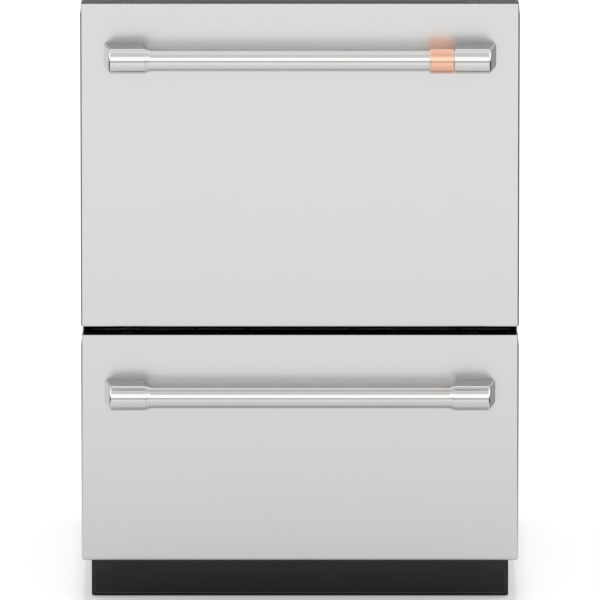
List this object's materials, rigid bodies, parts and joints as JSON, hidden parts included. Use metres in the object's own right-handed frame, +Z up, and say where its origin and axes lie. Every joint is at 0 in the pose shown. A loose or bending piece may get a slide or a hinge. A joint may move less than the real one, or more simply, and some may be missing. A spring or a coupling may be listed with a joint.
{
  "type": "double-drawer dishwasher",
  "caption": "Built-in dishwasher with an upper and a lower steel-fronted wash drawer on telescopic runners, each with a round bar handle, tub, basket, spray arm and lid.",
  "frame": {"origin": "on the floor, under the middle of the whole machine, handles included", "axes": "+Z up, +X to the right seen from the front, -Y out of the drawer fronts"},
  "size_m": [0.599, 0.629, 0.846],
  "materials": {
    "front_steel": "finely brushed, satin",
    "handle_steel": "brushed along the bar, bright",
    "copper": "brushed copper",
    "black_gloss": "high gloss",
    "liner_plastic": "moulded, matt",
    "button_plastic": "satin",
    "tub_plastic": "moulded, satin",
    "lid_plastic": "moulded, satin",
    "pump_plastic": "moulded, matt",
    "strainer_steel": "perforated",
    "arm_plastic": "moulded, satin",
    "coated_wire": "nylon coated",
    "dispenser_plastic": "moulded, satin",
    "cover_plastic": "moulded, satin",
    "runner_steel": "zinc plated",
    "seal_rubber": "matt",
    "shell_steel": "galvanised sheet",
    "foot_plastic": "moulded, matt",
    "brass": "turned",
    "drain_plastic": "moulded, matt",
    "gland_plastic": "moulded, matt"
  },
  "bodies": {
    "chassis": {"side_panel_left": "shell_steel", "side_panel_right": "shell_steel", "back_panel": "shell_steel", "top_cover": "shell_steel", "base_tray": "shell_steel", "kick_plate": "black_gloss", "foot_front_left": "foot_plastic", "foot_front_right": "foot_plastic", "foot_rear_left": "foot_plastic", "foot_rear_right": "foot_plastic", "inlet_valve": "brass", "drain_outlet": "drain_plastic", "mains_gland": "gland_plastic", "upper_runner_outer_left": "runner_steel", "upper_runner_outer_right": "runner_steel", "lower_runner_outer_left": "runner_steel", "lower_runner_outer_right": "runner_steel"},
    "upper_drawer": {"upper_front_skin": "front_steel", "upper_front_liner": "liner_plastic", "upper_front_cap": "black_gloss", "upper_handle_bar": "handle_steel", "upper_handle_bracket_left": "handle_steel", "upper_handle_bracket_right": "handle_steel", "upper_handle_band": "copper", "upper_tub": "tub_plastic", "upper_wash_pump": "pump_plastic", "upper_filter_plate": "strainer_steel", "upper_basket": "coated_wire", "upper_dispenser": "dispenser_plastic", "upper_runner_inner_left": "runner_steel", "upper_runner_inner_right": "runner_steel"},
    "upper_middle_runners": {"upper_runner_middle_left": "runner_steel", "upper_runner_middle_right": "runner_steel"},
    "upper_spray_arm": {"upper_spray_arm": "arm_plastic"},
    "upper_dispenser_cover": {"upper_dispenser_cover": "cover_plastic"},
    "upper_power_button": {"upper_power_button": "button_plastic"},
    "upper_start_button": {"upper_start_button": "button_plastic"},
    "upper_lid": {"upper_lid": "lid_plastic", "upper_lid_seal": "seal_rubber"},
    "lower_drawer": {"lower_front_skin": "front_steel", "lower_front_liner": "liner_plastic", "lower_front_cap": "black_gloss", "lower_handle_bar": "handle_steel", "lower_handle_bracket_left": "handle_steel", "lower_handle_bracket_right": "handle_steel", "lower_tub": "tub_plastic", "lower_wash_pump": "pump_plastic", "lower_filter_plate": "strainer_steel", "lower_basket": "coated_wire", "lower_dispenser": "dispenser_plastic", "lower_runner_inner_left": "runner_steel", "lower_runner_inner_right": "runner_steel"},
    "lower_middle_runners": {"lower_runner_middle_left": "runner_steel", "lower_runner_middle_right": "runner_steel"},
    "lower_spray_arm": {"lower_spray_arm": "arm_plastic"},
    "lower_dispenser_cover": {"lower_dispenser_cover": "cover_plastic"},
    "lower_power_button": {"lower_power_button": "button_plastic"},
    "lower_start_button": {"lower_start_button": "button_plastic"},
    "lower_lid": {"lower_lid": "lid_plastic", "lower_lid_seal": "seal_rubber"}
  },
  "joints": [
    {"name": "upper_drawer_slide", "type": "slide", "parent": "chassis", "child": "upper_drawer", "axis": [0, -1, 0], "range_m": [0, 0.48]},
    {"name": "upper_runner_slide", "type": "slide", "parent": "chassis", "child": "upper_middle_runners", "axis": [0, -1, 0], "range_m": [0, 0.24]},
    {"name": "upper_spray_arm_spin", "type": "hinge", "parent": "upper_drawer", "child": "upper_spray_arm", "pos_m": [0, 0.03565, 0.5091], "axis": [0, 0, 1], "continuous": true},
    {"name": "upper_dispenser_cover_slide", "type": "slide", "parent": "upper_drawer", "child": "upper_dispenser_cover", "axis": [-1, 0, 0], "range_m": [0, 0.06]},
    {"name": "upper_power_button_press", "type": "slide", "parent": "upper_drawer", "child": "upper_power_button", "axis": [0, 0, -1], "range_m": [0, 0.001], "stiffness_N_per_m": 400},
    {"name": "upper_start_button_press", "type": "slide", "parent": "upper_drawer", "child": "upper_start_button", "axis": [0, 0, -1], "range_m": [0, 0.001], "stiffness_N_per_m": 400},
    {"name": "upper_lid_lift", "type": "slide", "parent": "chassis", "child": "upper_lid", "axis": [0, 0, 1], "range_m": [0, 0.008]},
    {"name": "lower_drawer_slide", "type": "slide", "parent": "chassis", "child": "lower_drawer", "axis": [0, -1, 0], "range_m": [0, 0.48]},
    {"name": "lower_runner_slide", "type": "slide", "parent": "chassis", "child": "lower_middle_runners", "axis": [0, -1, 0], "range_m": [0, 0.24]},
    {"name": "lower_spray_arm_spin", "type": "hinge", "parent": "lower_drawer", "child": "lower_spray_arm", "pos_m": [0, 0.03565, 0.1811], "axis": [0, 0, 1], "continuous": true},
    {"name": "lower_dispenser_cover_slide", "type": "slide", "parent": "lower_drawer", "child": "lower_dispenser_cover", "axis": [-1, 0, 0], "range_m": [0, 0.06]},
    {"name": "lower_power_button_press", "type": "slide", "parent": "lower_drawer", "child": "lower_power_button", "axis": [0, 0, -1], "range_m": [0, 0.001], "stiffness_N_per_m": 400},
    {"name": "lower_start_button_press", "type": "slide", "parent": "lower_drawer", "child": "lower_start_button", "axis": [0, 0, -1], "range_m": [0, 0.001], "stiffness_N_per_m": 400},
    {"name": "lower_lid_lift", "type": "slide", "parent": "chassis", "child": "lower_lid", "axis": [0, 0, 1], "range_m": [0, 0.008]}
  ],
  "couplings": [
    {"joint": "upper_runner_slide", "follows": "upper_drawer_slide", "ratio": 0.5},
    {"joint": "lower_runner_slide", "follows": "lower_drawer_slide", "ratio": 0.5}
  ]
}
